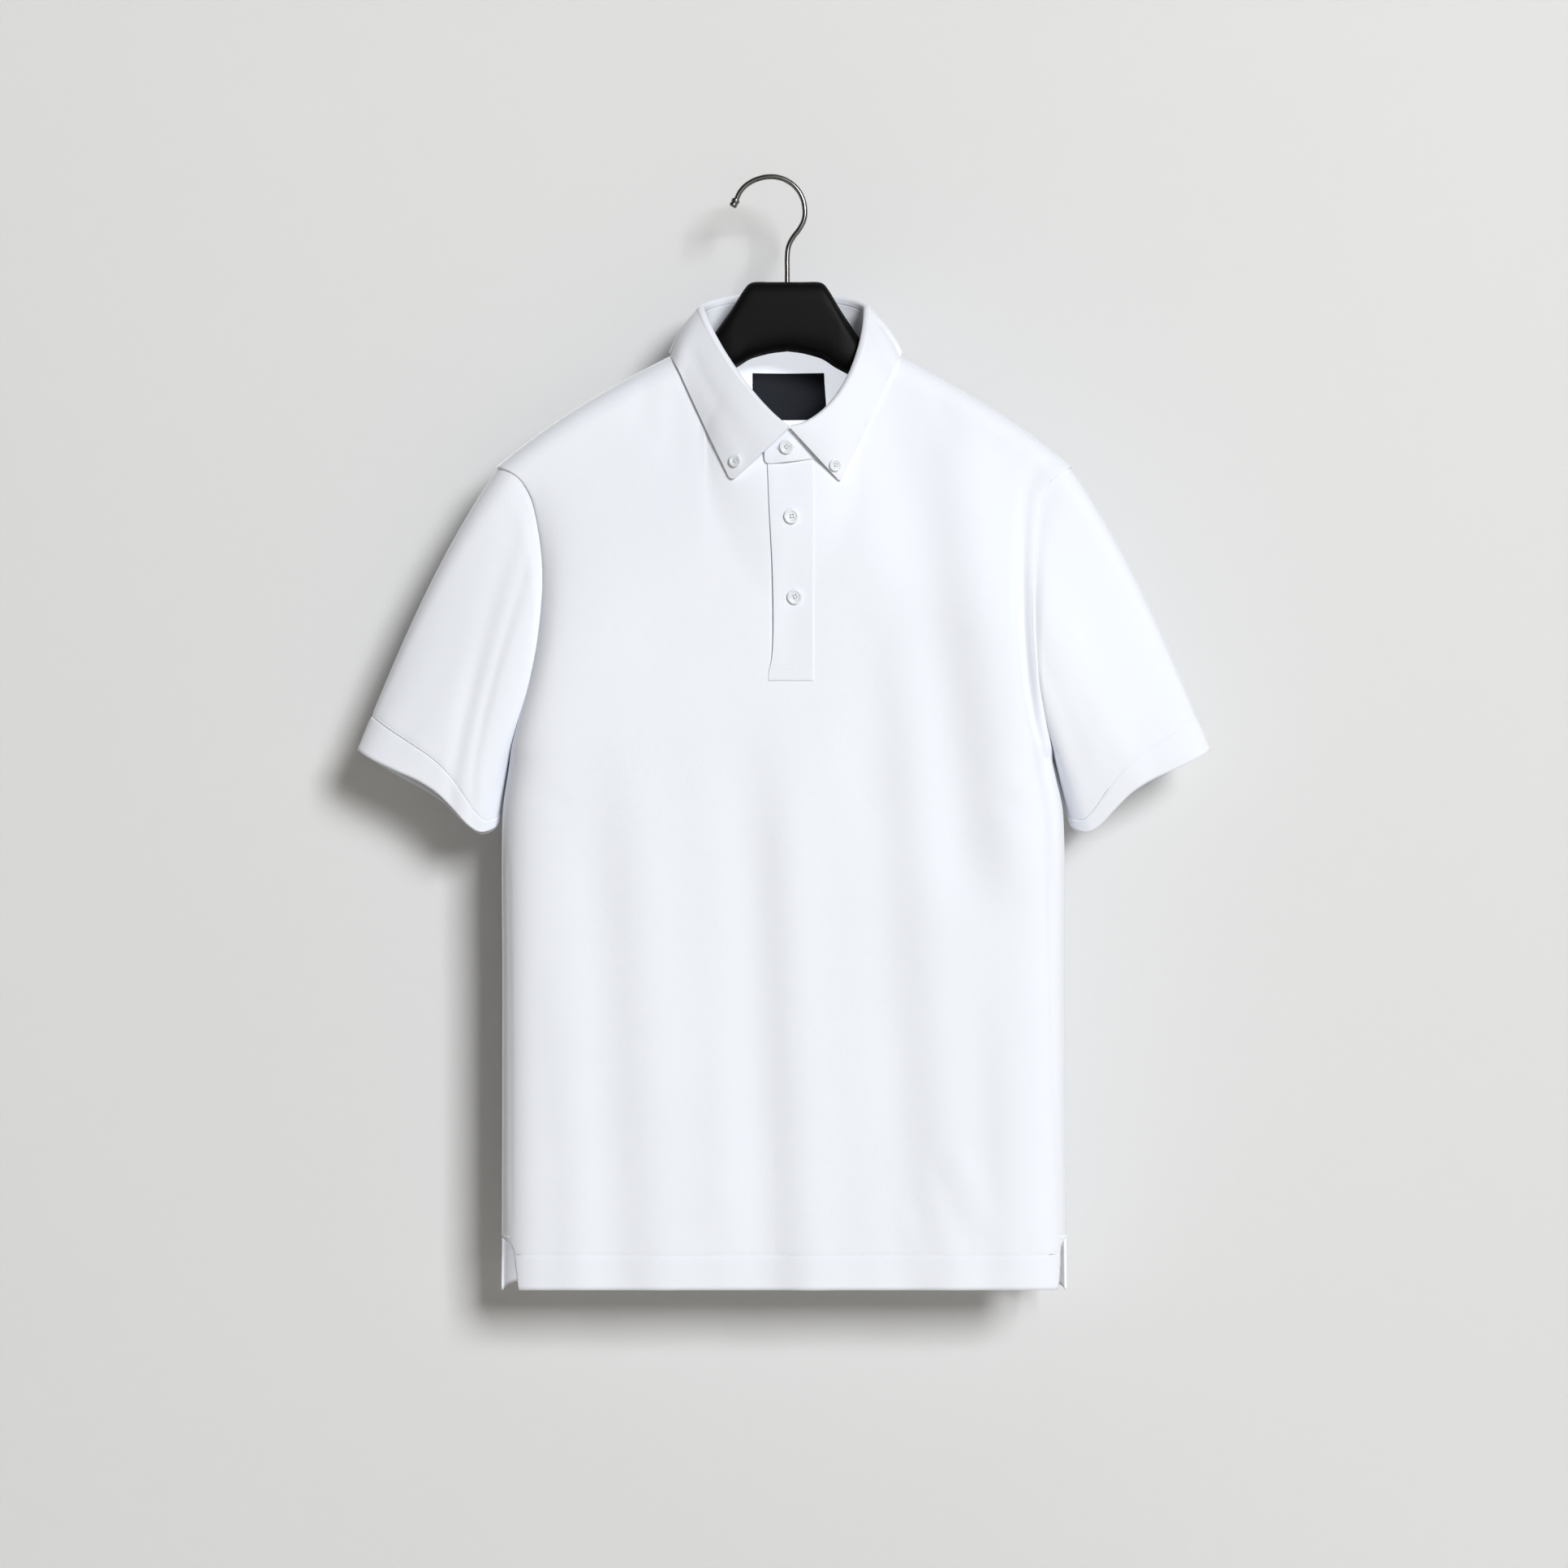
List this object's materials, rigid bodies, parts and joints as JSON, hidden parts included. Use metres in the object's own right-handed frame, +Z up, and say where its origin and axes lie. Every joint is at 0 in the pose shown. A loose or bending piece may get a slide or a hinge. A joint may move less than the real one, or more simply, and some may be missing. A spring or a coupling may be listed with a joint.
{
  "type": "polo shirt on a hanger",
  "caption": "short-sleeved shirt with a button-down collar, a buttoned placket and side vents, hanging on a wide-armed moulded hanger with a wire hook",
  "frame": {"origin": "inner top of the hook, where it rests on a rail", "axes": "+Z up, the front of the shirt faces -Y, +X is the viewer's right as seen from the front"},
  "size_m": [0.6356, 0.0945, 0.8271],
  "materials": {
    "fabric": "soft matte cotton knit",
    "label_cloth": "woven tape",
    "button_plastic": "gloss",
    "hanger_plastic": "fine satin",
    "hook_steel": "polished"
  },
  "bodies": {
    "root": {"front": "fabric", "back": "fabric", "sleeve_left": "fabric", "sleeve_right": "fabric", "collar_stand": "fabric", "collar_fall": "fabric", "placket_top": "fabric", "placket_under": "fabric", "label": "label_cloth", "button_placket_upper": "button_plastic", "button_placket_lower": "button_plastic", "button_stand": "button_plastic", "button_collar_left": "button_plastic", "button_collar_right": "button_plastic", "hanger": "hanger_plastic", "hook": "hook_steel", "hook_tip": "hook_steel"}
  },
  "joints": []
}
